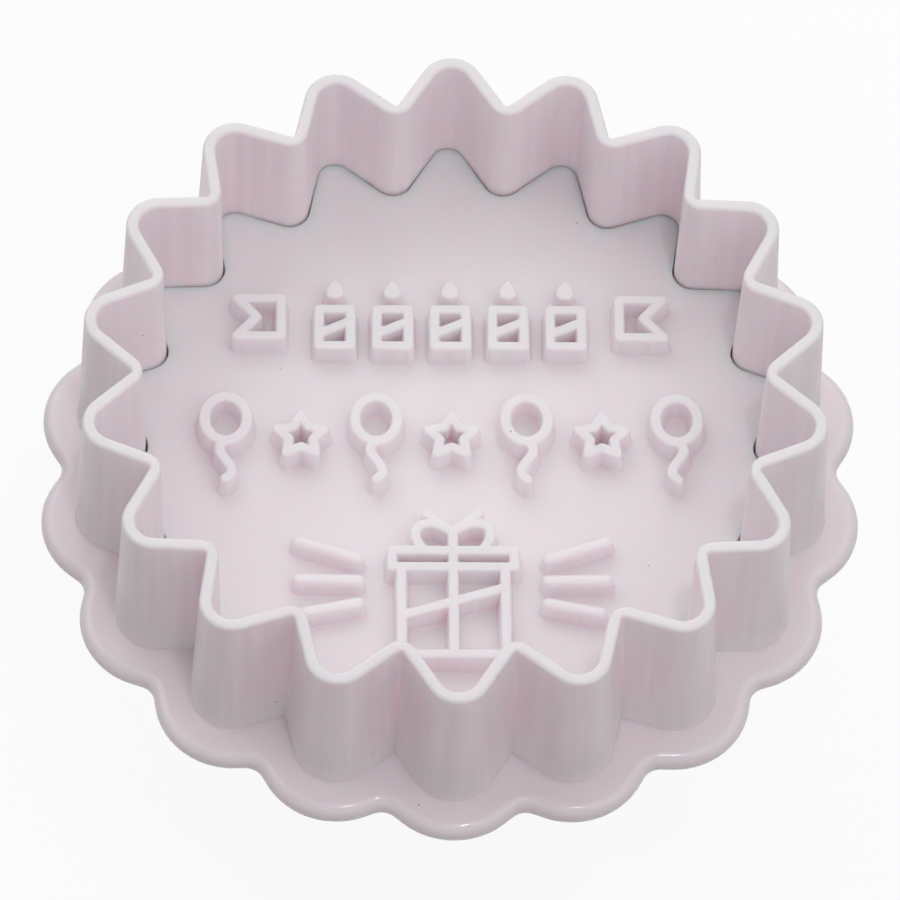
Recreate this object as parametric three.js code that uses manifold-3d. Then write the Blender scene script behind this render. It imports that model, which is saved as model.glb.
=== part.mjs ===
// Spring-plunger pastry stamp: a zigzag cutter ring and a sliding embossing plate.
// Millimetres, +Z up towards the cutting edge, origin at the middle of the knob's foot.
import * as THREE from 'three';
import { mergeVertices } from 'three/addons/utils/BufferGeometryUtils.js';
import Module from 'manifold-3d';

const wasm = await Module();
wasm.setup();

// Cutting wall
const lobeCount = 18;
const rimDiameter = 70; // outside the wall, across two opposite lobes, at the cutting edge
const tipDepth = 4.8; // from a lobe's crest in to a tip, on the wall's middle line
const lobeBend = 2.5; // bend radius of a lobe, on the middle line
const tipBend = 1.15; // bend radius of a tip, on the middle line
const wallThickness = 1.1; // at the cutting edge, which is flat
const rimBreak = 0.2; // small bevels on the cutting edge
const wallHeight = 17.5; // from the flange's top to the cutting edge
const wallDraft = 0.6; // how far the outside spreads from the edge down to the flange
const footFillet = 0.5; // hollow fillet where the wall stands on the flange
const sharpestBend = 0.25; // what stays of a bend that an offset would close

// Flange and deck
const flangeReach = 4.2; // how far the scallops stand out past the wall's lobes
const scallopDepth = 2.3; // from a scallop's crest in to its notch
const scallopBend = 7.3; // bend radius of a scallop
const notchBend = 1.8; // bend radius of a notch
const deckThickness = 2.4; // flange and deck are one plate with a bevelled edge

// Guide and ribs on the deck's back
const guideLength = 7;
const guideWall = 1.6;
const ribCount = 6;
const ribThickness = 1.3;
const ribHeight = 2.2; // at the spring's ring, falling to ribEndHeight
const ribEndHeight = 0.8;
const ribEndGap = 3; // from a rib's end to the wall's tips

// Plate
const plateThickness = 3.3;
const plateEdgeBreak = 0.3; // small bevel round the plate's face
const postDiameter = 10;
const postFlats = 8.6; // across the two flats that key the post in the knob

// Motion and fits
const travel = 12; // until the guide's end meets the knob
const plateClearance = 0.4; // all round, between the plate and the wall
const slideClearance = 0.3; // between the post and its guide
const seatGap = 0.3; // left between faces that touch

// Spring
const springWire = 0.9;
const springTurns = 6;
const springEndPitch = 1.4; // the first and the last turn lie close
const springClearance = 0.4; // between the coil and the guide inside it
const springCupClearance = 0.5; // between the coil and the rings round it
const springRing = 1.2; // wall of the ring on the deck that keeps the spring centred

// Knob, cap and screw
const knobDiameter = 34;
const knobNeckDiameter = 29; // behind the thumb pad
const knobPadHeight = 4.2; // where the knob is widest
const knobFootRound = 2.6;
const knobLipRound = 1.6;
const springCupDepth = 1.4; // how deep the spring sits in the knob
const socketDepth = 3.4; // how deep the post sits in the knob
const screwWeb = 2.4; // knob wall that the screw clamps
const headRoom = 0.9; // between the screw's head and the cap
const capDiameter = 16;
const capThickness = 1.5;
const capRecess = 0.4; // the cap lies this far inside the foot, so the stamp stands on the knob
const capDish = 0.5; // hollow of the cap's face
const spigotWall = 0.9; // of the ring on the cap that grips the knob's head bore
const spigotLength = 2;
const screwDiameter = 3;
const screwLength = 14;
const screwPoint = 1.6;
const screwHeadDiameter = 5.6;
const screwHeadHeight = 2.1;
const screwHeadFlat = 3.4; // flat middle of the pan head
const screwHeadCrown = 0.5; // height of the head's rounded edge

// Relief
const reliefHeight = 2.4;
const reliefDraft = 0.15; // spread of each line's foot
const lineWidth = 1; // at the top of a line
const rowLineWidth = 1.1; // the middle row is drawn bolder
const rayWidth = 0.9; // the rays are softer: lower, with a narrow top and a wide foot
const rayDraft = 0.3;
const rayHeight = 2;
const reliefRoot = 0.3; // how deep a line's foot runs into the plate
const mitreLimit = 2.5; // longest corner of a line, in half line widths
const cornerMitre = 1.1; // past this mitre the outside of a corner is rounded, in half line widths
const pictureRadius = 28.7; // of the round field that the picture's places are given for

// The picture's places on that field, on the lines' middles: across is x, up is y
const gift = { lidHalf: 5.7, lidTop: -12.5, boxHalf: 4.85, boxTop: -14.25, foot: -23.55 };
const sash = { low: -19.45, high: -16.45 };
const bowKnot = -10.5;
const bowLoop = { riseAcross: 2.4, rise: -8.6, sideAcross: 4.8, side: -9.9, endAcross: 2.7 };
const bowTail = { across: 2.45, up: -8.5 };
const rayEnds = [
  { near: [9, -13.05], far: [14.4, -11.25] },
  { near: [8.9, -15.4], far: [14.35, -15.3] },
  { near: [8.9, -17.85], far: [13.7, -18.85] },
];
const bannerTail = { inner: 16.1, outer: 20.3, notch: 18.4, middle: 13, half: 2.1 };
const candle = { count: 5, pitch: 5.5, half: 1.5, foot: 9.85, top: 13.9, stripeRise: 1.4 };
const flame = { foot: 15, top: 17.4, belly: 1.8, bellyUp: 15.3 };
const partyRow = { count: 7, pitch: 7.1, middle: -0.1 };
const star = { points: 5, reach: 2.3, dip: 1.2 };
const balloon = { half: 2, middle: 1.75, halfHeight: 2.4, sway: 2, stringFoot: -4.8 };

// Facets
const lobeSteps = 3;
const tipSteps = 2;
const roundSteps = 3;
const turnedSides = 32;
const slimSides = 16;
const lineSteps = 6;
const balloonSides = 14;
const curlSteps = 8;
const curlSides = 5;
const sameCorner = 1e-4; // corners closer than this are one

// Heights, from the knob's foot up
const recessFloor = capRecess + capThickness + seatGap;
const webFloor = capRecess + capThickness + headRoom + screwHeadHeight + seatGap;
const socketFloor = webFloor + screwWeb;
const springSeat = socketFloor + socketDepth;
const knobTop = springSeat + springCupDepth;
const guideEnd = springSeat + travel + seatGap;
const deckBottom = guideEnd + guideLength;
const deckTop = deckBottom + deckThickness;
const rimTop = deckTop + wallHeight;
const plateBottom = deckTop + seatGap;
const plateTop = plateBottom + plateThickness;

// Radii that fit each other
const crestRadius = (rimDiameter - wallThickness) / 2;
const tipRadius = crestRadius - tipDepth;
const clearRadius = tipRadius - wallThickness / 2 - plateClearance;
const scallopRadius = rimDiameter / 2 + flangeReach;
const postRadius = postDiameter / 2;
const guideBore = postRadius + slideClearance;
const guideRadius = guideBore + guideWall;
const coilRadius = (guideRadius + springClearance + springWire / 2) / Math.cos(Math.PI / curlSteps);
const springCup = coilRadius + springWire / 2 + springCupClearance;
const screwBore = screwDiameter / 2 + seatGap;
const headBore = screwHeadDiameter / 2 + spigotWall + 2 * seatGap;
const weld = deckThickness / 4; // how deep fused shapes run into each other

const lilacPlastic = new THREE.MeshStandardMaterial({ color: 0xddd3d9, roughness: 0.45, metalness: 0 });
const springSteel = new THREE.MeshStandardMaterial({ color: 0xb4b6ba, roughness: 0.3, metalness: 1 });

// A closed solid from any three.js geometry: corners welded, slivers dropped, faces turned outwards
function solid(geometry) {
  const bare = new THREE.BufferGeometry();
  bare.setAttribute('position', geometry.getAttribute('position').clone());
  bare.setIndex(geometry.getIndex());
  const welded = mergeVertices(bare, sameCorner);
  const position = welded.getAttribute('position').array;
  const corners = welded.getIndex().array;
  const kept = [];
  let volume = 0;
  const [a, b, c] = [new THREE.Vector3(), new THREE.Vector3(), new THREE.Vector3()];
  for (let i = 0; i < corners.length; i += 3) {
    const [p, q, r] = corners.slice(i, i + 3);
    if (p === q || q === r || r === p) continue;
    kept.push(p, q, r);
    a.fromArray(position, 3 * p);
    b.fromArray(position, 3 * q);
    c.fromArray(position, 3 * r);
    volume += a.dot(b.cross(c));
  }
  if (volume < 0) kept.reverse();
  return new wasm.Manifold(new wasm.Mesh({
    numProp: 3,
    vertProperties: new Float32Array(position),
    triVerts: new Uint32Array(kept),
  }));
}

function piece(name, manifold, material) {
  const { vertProperties, triVerts } = manifold.getMesh();
  const geometry = new THREE.BufferGeometry();
  geometry.setAttribute('position', new THREE.BufferAttribute(vertProperties, 3));
  geometry.setIndex(new THREE.BufferAttribute(triVerts, 1));
  geometry.computeVertexNormals();
  const mesh = new THREE.Mesh(geometry, material);
  mesh.name = name;
  return mesh;
}

// The flat face inside a loop, looking up or down
function cap(loop, first, up) {
  const flat = loop.map((p) => new THREE.Vector2(p.x, p.y));
  return THREE.ShapeUtils.triangulateShape(flat, []).flatMap((corners) => {
    const rising = THREE.ShapeUtils.area(corners.map((corner) => flat[corner])) > 0;
    const ordered = rising === up ? corners : corners.reverse();
    return ordered.map((corner) => first + corner);
  });
}

// Faces between loops of equal length: capped at both ends, or closed into a ring
function loft(loops, ring = false) {
  const size = loops[0].length;
  const index = [];
  const bands = ring ? loops.length : loops.length - 1;
  for (let band = 0; band < bands; band += 1) {
    const low = band * size;
    const high = ((band + 1) % loops.length) * size;
    for (let i = 0; i < size; i += 1) {
      const next = (i + 1) % size;
      index.push(low + i, low + next, high + next, low + i, high + next, high + i);
    }
  }
  if (!ring) {
    index.push(...cap(loops[0], 0, false));
    index.push(...cap(loops[loops.length - 1], (loops.length - 1) * size, true));
  }
  const geometry = new THREE.BufferGeometry().setFromPoints(loops.flat());
  geometry.setIndex(index);
  return solid(geometry);
}

// A profile of [radius, height] points turned about the stamp's axis
function turned(profile, sides = turnedSides) {
  const points = profile.map(([radius, height]) => new THREE.Vector2(radius, height));
  return solid(new THREE.LatheGeometry(points, sides).rotateX(Math.PI / 2));
}

function cylinder(radius, from, to, sides = turnedSides) {
  return turned([[0, from], [radius, from], [radius, to], [0, to]], sides);
}

function block(size, centre) {
  return solid(new THREE.BoxGeometry(...size).translate(...centre));
}

// Points on an arc about a centre, from one angle to another in degrees
function arc(centre, radius, from, to, steps) {
  return Array.from({ length: steps + 1 }, (_, i) => {
    const angle = THREE.MathUtils.degToRad(from + ((to - from) * i) / steps);
    return [centre[0] + radius * Math.cos(angle), centre[1] + radius * Math.sin(angle)];
  });
}

// Bends that leave room for each other: past that, neighbouring arcs would meet before the flank
function fittingBends(crest, dip, slope, widestCrest, widestDip) {
  const share = 0.97;
  const crestRoom = (crest ** 2 + dip ** 2 - 2 * crest * dip * slope) / (2 * (crest - dip * slope));
  const crestBend = Math.min(widestCrest, share * crestRoom);
  const centre = crest - crestBend;
  const spare = centre ** 2 + dip ** 2 - 2 * centre * dip * slope - crestBend ** 2;
  const dipRoom = spare / (2 * (centre * slope + crestBend - dip));
  return { crestBend, dipBend: Math.min(widestDip, share * dipRoom) };
}

// Points on a bent line that leaves one point and reaches another, pulled towards a third
function bent(from, towards, to, steps) {
  const ends = [from, towards, to].map(([x, y]) => new THREE.Vector2(x, y));
  return new THREE.QuadraticBezierCurve(...ends).getPoints(steps).map(({ x, y }) => [x, y]);
}

// A lobed outline: an arc on each crest, a smaller arc in each dip, and the straight flank that touches
// both. It gives the parallel loop at any offset and height. One crest faces -Y.
function lobedOutline({ crest, dip, widestCrest, widestDip }) {
  const half = Math.PI / lobeCount;
  const { crestBend, dipBend } = fittingBends(crest, dip, Math.cos(half), widestCrest, widestDip);
  const crestCentre = new THREE.Vector2(crest - crestBend, 0);
  const dipAxis = new THREE.Vector2(Math.cos(half), Math.sin(half));
  const dipCentre = dipAxis.clone().multiplyScalar(dip + dipBend);
  const between = dipCentre.sub(crestCentre);
  const facing = between.angle() - Math.acos((crestBend + dipBend) / between.length());
  const flank = crestCentre.x * Math.cos(facing) + crestBend;
  return (offset, height) => {
    const crestRound = Math.max(crestBend + offset, sharpestBend);
    const dipRound = Math.max(dipBend - offset, sharpestBend);
    const crestPlace = (flank + offset - crestRound) / Math.cos(facing);
    const dipPlace = (flank + offset + dipRound) / Math.cos(facing - half);
    const side = [];
    for (let i = 0; i <= lobeSteps; i += 1) {
      const angle = (facing * i) / lobeSteps;
      side.push([crestPlace + crestRound * Math.cos(angle), crestRound * Math.sin(angle)]);
    }
    for (let i = 0; i <= tipSteps; i += 1) {
      const angle = facing + ((half - facing) * i) / tipSteps;
      side.push([
        dipPlace * dipAxis.x - dipRound * Math.cos(angle),
        dipPlace * dipAxis.y - dipRound * Math.sin(angle),
      ]);
    }
    const mirrored = side.slice(1).reverse().map(([x, y]) => [x, -y]);
    const lobe = [...mirrored, ...side.slice(0, -1)];
    const loop = [];
    for (let k = 0; k < lobeCount; k += 1) {
      const turn = 2 * half * k - Math.PI / 2;
      lobe.forEach(([x, y]) => {
        loop.push(new THREE.Vector3(
          x * Math.cos(turn) - y * Math.sin(turn),
          x * Math.sin(turn) + y * Math.cos(turn),
          height,
        ));
      });
    }
    return loop;
  };
}

const wallOutline = lobedOutline({
  crest: crestRadius,
  dip: tipRadius,
  widestCrest: lobeBend,
  widestDip: tipBend,
});
const flangeOutline = lobedOutline({
  crest: scallopRadius,
  dip: scallopRadius - scallopDepth,
  widestCrest: scallopBend,
  widestDip: notchBend,
});

// The cutting wall: a drafted profile with a flat edge and a filleted foot, carried round the zigzag
function cuttingWall() {
  const halfWall = wallThickness / 2;
  const footOffset = halfWall + wallDraft;
  const fillet = arc([footOffset + footFillet, deckTop + footFillet], footFillet, 270, 180, 2);
  const profile = [
    [footOffset + footFillet, deckTop - weld],
    ...fillet,
    [halfWall, rimTop - rimBreak],
    [halfWall - rimBreak, rimTop],
    [rimBreak - halfWall, rimTop],
    [-halfWall, rimTop - rimBreak],
    [-halfWall, deckTop - weld],
  ];
  return loft(profile.map(([offset, height]) => wallOutline(offset, height)), true);
}

// The flange and deck: one scalloped plate with a wide bevel above and below its edge
function flangePlate() {
  const round = deckThickness / 2;
  const edge = [[-round, deckBottom], [0, deckBottom + round / 2], [0, deckTop - round / 2], [-round, deckTop]];
  return loft(edge.map(([offset, height]) => flangeOutline(offset, height)));
}

// A rib under the deck, from the spring's ring out towards the wall, getting lower
function deckRib(turn) {
  const start = springCup + springRing / 2;
  const end = tipRadius - ribEndGap;
  const shape = new THREE.Shape([
    new THREE.Vector2(start, deckBottom + weld),
    new THREE.Vector2(start, deckBottom - ribHeight),
    new THREE.Vector2(end, deckBottom - ribEndHeight),
    new THREE.Vector2(end, deckBottom + weld),
  ]);
  const rib = new THREE.ExtrudeGeometry(shape, { depth: ribThickness, bevelEnabled: false });
  rib.translate(0, 0, -ribThickness / 2).rotateX(Math.PI / 2).rotateZ(turn);
  return solid(rib);
}

function cutterRing() {
  const guide = cylinder(guideRadius, guideEnd, deckBottom + weld);
  const ring = turned([
    [springCup, deckBottom - ribHeight],
    [springCup + springRing, deckBottom - ribHeight],
    [springCup + springRing, deckBottom + weld],
    [springCup, deckBottom + weld],
    [springCup, deckBottom - ribHeight],
  ]);
  let body = flangePlate().add(cuttingWall()).add(guide).add(ring);
  for (let k = 0; k < ribCount; k += 1) {
    body = body.add(deckRib((2 * Math.PI * k) / ribCount));
  }
  return body.subtract(cylinder(guideBore, guideEnd - weld, deckTop + weld));
}

// The picture's places are given on the round field and grow or shrink with the plate
function place(x, y) {
  return new THREE.Vector2(x, y).multiplyScalar(clearRadius / pictureRadius);
}

// Both sides of a line at half its width; a closed line runs back to its start. Corners are mitred, and the
// outside of a sharp one is rounded.
function lineSides(path, width, closed) {
  const count = path.length;
  const at = (i) => path[closed ? (i + count) % count : THREE.MathUtils.clamp(i, 0, count - 1)];
  return [1, -1].map((side) => path.flatMap((point, i) => {
    const into = point.clone().sub(at(i - 1)).normalize();
    const out = at(i + 1).clone().sub(point).normalize();
    const [before, after] = [into.lengthSq() > 0 ? into : out, out.lengthSq() > 0 ? out : into];
    const along = before.clone().add(after).normalize();
    const mitre = Math.min(1 / along.dot(after), mitreLimit);
    const beside = (way, reach) => (
      point.clone().addScaledVector(new THREE.Vector2(-way.y, way.x), (side * reach * width) / 2)
    );
    const outside = before.cross(after) * side < 0;
    return outside && mitre > cornerMitre
      ? [beside(before, 1), beside(along, 1), beside(after, 1)]
      : [beside(along, mitre)];
  }));
}

function openLine(path, width) {
  const [left, right] = lineSides(path, width, false);
  return new THREE.Shape([...left, ...right.reverse()]);
}

function closedLine(path, width) {
  const sides = lineSides(path, width, true);
  const [outer, inner] = sides.sort((p, q) => (
    Math.abs(THREE.ShapeUtils.area(q)) - Math.abs(THREE.ShapeUtils.area(p))
  ));
  const shape = new THREE.Shape(THREE.ShapeUtils.isClockWise(outer) ? outer.reverse() : outer);
  shape.holes.push(new THREE.Path(inner));
  return shape;
}

// A line with round ends
function pill(from, to, width) {
  const heading = to.clone().sub(from).angle();
  const quarter = Math.PI / 2;
  const shape = new THREE.Shape();
  shape.absarc(to.x, to.y, width / 2, heading - quarter, heading + quarter);
  shape.absarc(from.x, from.y, width / 2, heading + quarter, heading + 3 * quarter);
  return new THREE.Shape(shape.getPoints(roundSteps).slice(0, -1));
}

// A raised line: drafted sides from the plate's face up, its foot run into the plate
function raised(shape, draft = reliefDraft, height = reliefHeight) {
  const geometry = new THREE.ExtrudeGeometry(shape, {
    depth: reliefRoot,
    bevelThickness: height,
    bevelSize: draft,
    bevelSegments: 1,
  });
  return solid(geometry.translate(0, 0, plateTop - reliefRoot));
}

// Corners of an upright rectangle
function corners(left, right, low, high) {
  return [place(left, low), place(right, low), place(right, high), place(left, high)];
}

function giftBox() {
  const { lidHalf, lidTop, boxHalf, boxTop, foot } = gift;
  return [
    closedLine(corners(-lidHalf, lidHalf, boxTop, lidTop), lineWidth),
    closedLine(corners(-boxHalf, boxHalf, foot, boxTop), lineWidth),
    openLine([place(0, bowKnot), place(0, foot)], lineWidth),
    openLine([place(-boxHalf, sash.low), place(boxHalf, sash.high)], lineWidth),
  ];
}

// Two loops and two loose ends, tied on the lid
function bow() {
  return [-1, 1].flatMap((side) => {
    const knot = place(0, bowKnot);
    const loop = new THREE.CubicBezierCurve(
      knot,
      place(side * bowLoop.riseAcross, bowLoop.rise),
      place(side * bowLoop.sideAcross, bowLoop.side),
      place(side * bowLoop.endAcross, gift.lidTop),
    );
    return [
      openLine(loop.getPoints(lineSteps), lineWidth),
      pill(knot, place(side * bowTail.across, bowTail.up), lineWidth),
    ];
  });
}

function rays() {
  return [-1, 1].flatMap((side) => rayEnds.map(({ near, far }) => (
    pill(place(side * near[0], near[1]), place(side * far[0], far[1]), rayWidth)
  )));
}

// The swallow-tailed ends of a banner
function bannerTails() {
  const { inner, outer, notch, middle, half } = bannerTail;
  return [-1, 1].map((side) => closedLine([
    place(side * inner, middle + half),
    place(side * outer, middle + half),
    place(side * notch, middle),
    place(side * outer, middle - half),
    place(side * inner, middle - half),
  ], lineWidth));
}

// Striped candles with a flame each
function candles() {
  return Array.from({ length: candle.count }, (_, i) => {
    const x = (i - (candle.count - 1) / 2) * candle.pitch;
    const [left, right] = [x - candle.half, x + candle.half];
    const stripeMiddle = (candle.foot + candle.top) / 2;
    const [stripeLow, stripeHigh] = [-1, 1].map((end) => stripeMiddle + (end * candle.stripeRise) / 2);
    const [wick, tip] = [[x, flame.foot], [x, flame.top]];
    const light = [
      ...bent(wick, [x + flame.belly, flame.bellyUp], tip, roundSteps),
      ...bent(tip, [x - flame.belly, flame.bellyUp], wick, roundSteps).slice(1, -1),
    ];
    return [
      closedLine(corners(left, right, candle.foot, candle.top), lineWidth),
      openLine([place(left, stripeLow), place(right, stripeHigh)], lineWidth),
      new THREE.Shape(light.map((point) => place(...point))),
    ];
  }).flat();
}

function balloonLines(x) {
  const side = Math.sign(x);
  const skin = Array.from({ length: balloonSides }, (_, i) => {
    const angle = (2 * Math.PI * i) / balloonSides;
    return place(x + balloon.half * Math.cos(angle), balloon.middle + balloon.halfHeight * Math.sin(angle));
  });
  const knot = balloon.middle - balloon.halfHeight;
  const third = (balloon.stringFoot - knot) / 3;
  const string = new THREE.CubicBezierCurve(
    place(x, knot),
    place(x + side * balloon.sway, knot + third),
    place(x - side * balloon.sway, knot + 2 * third),
    place(x, balloon.stringFoot),
  );
  return [closedLine(skin, rowLineWidth), openLine(string.getPoints(lineSteps), lineWidth)];
}

function starLine(x) {
  const points = Array.from({ length: 2 * star.points }, (_, i) => {
    const reach = i % 2 === 0 ? star.reach : star.dip;
    const angle = Math.PI / 2 + (Math.PI * i) / star.points;
    return place(x + reach * Math.cos(angle), partyRow.middle + reach * Math.sin(angle));
  });
  return closedLine(points, lineWidth);
}

// Balloons and stars by turns
function middleRow() {
  return Array.from({ length: partyRow.count }, (_, i) => {
    const x = (i - (partyRow.count - 1) / 2) * partyRow.pitch;
    return i % 2 === 0 ? balloonLines(x) : starLine(x);
  }).flat();
}

function embossPlate() {
  const edge = -wallThickness / 2 - plateClearance;
  const slab = loft([
    wallOutline(edge, plateBottom),
    wallOutline(edge, plateTop - plateEdgeBreak),
    wallOutline(edge - plateEdgeBreak, plateTop),
  ]);
  const postEnd = socketFloor + seatGap;
  const round = cylinder(postRadius, springSeat, plateBottom + weld);
  const flatted = cylinder(postRadius, postEnd, springSeat + weld)
    .intersect(block([2 * postDiameter, postFlats, postDiameter], [0, 0, postEnd + postRadius]));
  let body = slab.add(round).add(flatted);
  [...giftBox(), ...bow(), ...bannerTails(), ...candles(), ...middleRow()].forEach((line) => {
    body = body.add(raised(line));
  });
  rays().forEach((line) => {
    body = body.add(raised(line, rayDraft, rayHeight));
  });
  return body.subtract(cylinder(screwBore, postEnd - weld, webFloor + screwLength, slimSides));
}

function pushKnob() {
  const radius = knobDiameter / 2;
  const neck = knobNeckDiameter / 2;
  const capSeat = capDiameter / 2 + seatGap;
  const body = turned([
    [screwBore, webFloor],
    [headBore, webFloor],
    [headBore, recessFloor],
    [capSeat, recessFloor],
    [capSeat, 0],
    ...arc([radius - knobFootRound, knobFootRound], knobFootRound, 270, 360, roundSteps),
    ...bent([radius, knobPadHeight], [neck, knobPadHeight], [neck, knobTop - knobLipRound], roundSteps),
    ...arc([neck - knobLipRound, knobTop - knobLipRound], knobLipRound, 0, 90, roundSteps).slice(1),
    [springCup, knobTop],
    [springCup, springSeat],
    [screwBore, springSeat],
    [screwBore, webFloor],
  ]);
  const socket = cylinder(guideBore, socketFloor, springSeat + weld)
    .intersect(block(
      [2 * knobDiameter, postFlats + 2 * seatGap, knobDiameter],
      [0, 0, socketFloor + radius - weld],
    ));
  return body.subtract(socket);
}

function knobCap() {
  const radius = capDiameter / 2;
  const spigot = headBore - seatGap;
  const back = capRecess + capThickness;
  const hollow = capRecess + capDish;
  return turned([
    ...bent([0, hollow], [radius / 2, hollow], [radius - capDish, capRecess], roundSteps),
    [radius, hollow],
    [radius, back],
    [spigot, back],
    [spigot, back + spigotLength],
    [spigot - spigotWall, back + spigotLength],
    [spigot - spigotWall, back],
    [0, back],
  ]);
}

function plungerScrew() {
  const radius = screwDiameter / 2;
  const head = screwHeadDiameter / 2;
  const under = webFloor - seatGap;
  const end = under + screwLength;
  return turned([
    [0, under - screwHeadHeight],
    [screwHeadFlat / 2, under - screwHeadHeight],
    [head, under - screwHeadHeight + screwHeadCrown],
    [head, under],
    [radius, under],
    [radius, end - screwPoint],
    [0, end],
  ], slimSides);
}

// The spring's middle line: close turns at both ends, open ones between, and straight wire ends
function springLine() {
  const low = springSeat + seatGap + springWire / 2;
  const rise = deckBottom - seatGap - springWire / 2 - low;
  const openPitch = (rise - 2 * springEndPitch) / (springTurns - 2);
  const height = (turns) => {
    if (turns < 1) return low + springEndPitch * turns;
    if (turns > springTurns - 1) return low + rise - springEndPitch * (springTurns - turns);
    return low + springEndPitch + openPitch * (turns - 1);
  };
  const points = [];
  for (let i = 0; i <= springTurns * curlSteps; i += 1) {
    const turns = i / curlSteps;
    const angle = 2 * Math.PI * turns;
    points.push(new THREE.Vector3(coilRadius * Math.cos(angle), coilRadius * Math.sin(angle), height(turns)));
  }
  const start = points[0].clone().add(new THREE.Vector3(0, -springWire, 0));
  const end = points[points.length - 1].clone().add(new THREE.Vector3(0, springWire, 0));
  return [start, ...points, end];
}

// One unbroken tube along the line, its sides kept upright
function wireTube(line) {
  const radius = springWire / 2;
  const loops = line.map((point, i) => {
    const before = line[Math.max(i - 1, 0)];
    const after = line[Math.min(i + 1, line.length - 1)];
    const along = after.clone().sub(before).normalize();
    const out = new THREE.Vector3().crossVectors(along, new THREE.Vector3(0, 0, 1)).normalize();
    const up = new THREE.Vector3().crossVectors(out, along);
    return Array.from({ length: curlSides }, (_, side) => {
      const angle = (2 * Math.PI * side) / curlSides;
      return point.clone()
        .addScaledVector(out, radius * Math.cos(angle))
        .addScaledVector(up, radius * Math.sin(angle));
    });
  });
  const index = [];
  for (let i = 0; i < loops.length - 1; i += 1) {
    for (let side = 0; side < curlSides; side += 1) {
      const next = (side + 1) % curlSides;
      const [p, q] = [i * curlSides + side, i * curlSides + next];
      index.push(p, q, q + curlSides, p, q + curlSides, p + curlSides);
    }
  }
  const last = (loops.length - 1) * curlSides;
  for (let side = 1; side < curlSides - 1; side += 1) {
    index.push(0, side + 1, side, last, last + side, last + side + 1);
  }
  const geometry = new THREE.BufferGeometry().setFromPoints(loops.flat());
  geometry.setIndex(index);
  return solid(geometry);
}

// The least gap between turns, measured between points at least half a turn apart along the line
function leastGap(line) {
  let least = Infinity;
  line.forEach((point, i) => {
    line.slice(i + curlSteps / 2).forEach((other) => {
      least = Math.min(least, point.distanceTo(other) - springWire);
    });
  });
  return least;
}

const springPath = springLine();
console.log(`return_spring: least gap to itself ${leastGap(springPath).toFixed(2)} mm`);

const stamp = new THREE.Group();
stamp.add(
  piece('cutter_ring', cutterRing(), lilacPlastic),
  piece('emboss_plate', embossPlate(), lilacPlastic),
  piece('push_knob', pushKnob(), lilacPlastic),
  piece('knob_cap', knobCap(), lilacPlastic),
  piece('plunger_screw', plungerScrew(), springSteel),
  piece('return_spring', wireTube(springPath), springSteel),
);

export default stamp;
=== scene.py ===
# Pastry stamp with a spring plunger: zigzag cutter ring, embossing plate, knob, cap, screw and spring.
# Every surface is worked out with numpy, in millimetres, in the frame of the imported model.
import math

import bpy
import numpy as np
from mathutils import Matrix, Vector
from mathutils.geometry import delaunay_2d_cdt


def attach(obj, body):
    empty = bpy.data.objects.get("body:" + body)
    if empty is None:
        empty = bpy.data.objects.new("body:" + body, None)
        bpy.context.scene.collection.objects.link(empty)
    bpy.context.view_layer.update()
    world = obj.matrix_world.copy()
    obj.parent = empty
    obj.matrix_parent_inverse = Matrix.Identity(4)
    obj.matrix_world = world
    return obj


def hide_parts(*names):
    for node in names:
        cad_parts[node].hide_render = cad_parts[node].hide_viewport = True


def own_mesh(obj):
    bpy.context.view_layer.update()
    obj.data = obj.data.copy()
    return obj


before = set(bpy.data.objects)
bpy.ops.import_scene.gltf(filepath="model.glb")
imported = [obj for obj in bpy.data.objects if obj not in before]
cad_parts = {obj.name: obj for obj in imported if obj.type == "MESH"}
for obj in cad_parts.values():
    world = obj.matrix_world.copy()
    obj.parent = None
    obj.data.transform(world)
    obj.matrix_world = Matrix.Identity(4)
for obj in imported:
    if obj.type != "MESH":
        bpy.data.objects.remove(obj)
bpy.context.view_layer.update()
mm = 0.001
print("frame loaded:", ", ".join(sorted(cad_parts)))


# sRGB hex to the linear colour that shaders take
def linear(hexColour):
    srgb = np.array([int(hexColour[i:i + 2], 16) for i in (1, 3, 5)]) / 255
    return (*np.where(srgb <= 0.04045, srgb / 12.92, ((srgb + 0.055) / 1.055) ** 2.4).tolist(), 1.0)


# One node: settings are its attributes, inputs are plain values or other nodes' sockets
def addNode(tree, kind, inputs={}, **settings):
    node = tree.nodes.new(kind)
    for name, value in settings.items():
        setattr(node, name, value)
    for name, value in inputs.items():
        if isinstance(value, bpy.types.NodeSocket):
            tree.links.new(value, node.inputs[name])
        else:
            node.inputs[name].default_value = value
    return node


def newMaterial(name):
    material = bpy.data.materials.new(name)
    material.use_nodes = True
    material.node_tree.nodes.clear()
    return material, material.node_tree


# Camera: the angle, distance and roll that lay the wall, flange and plate on the photograph's outlines
lens = dict(target=(0, 0, 32.7), distance=672.2, azimuth=3.21, elevation=59.44, roll=3.03, focal=283.1, raised=1.56)


def setCamera():
    az, el, roll = (math.radians(lens[k]) for k in ("azimuth", "elevation", "roll"))
    right = np.array((math.cos(az), -math.sin(az), 0))
    ahead = np.array((math.sin(az) * math.cos(el), math.cos(az) * math.cos(el), -math.sin(el)))
    up = np.cross(right, ahead)
    right, up = math.cos(roll) * right + math.sin(roll) * up, math.cos(roll) * up - math.sin(roll) * right
    place = (np.array(lens["target"]) - lens["distance"] * ahead + lens["raised"] * up) * mm
    data = bpy.data.cameras.new("studioCamera")
    data.sensor_width = 36
    data.lens = lens["focal"]
    data.clip_start, data.clip_end = 0.05, 20
    camera = bpy.data.objects.new("studioCamera", data)
    turned = np.column_stack([right, up, -ahead, place])
    camera.matrix_world = Matrix([*turned.tolist(), (0, 0, 0, 1)])
    bpy.context.scene.collection.objects.link(camera)
    bpy.context.scene.camera = camera


setCamera()
print("camera set")


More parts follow.
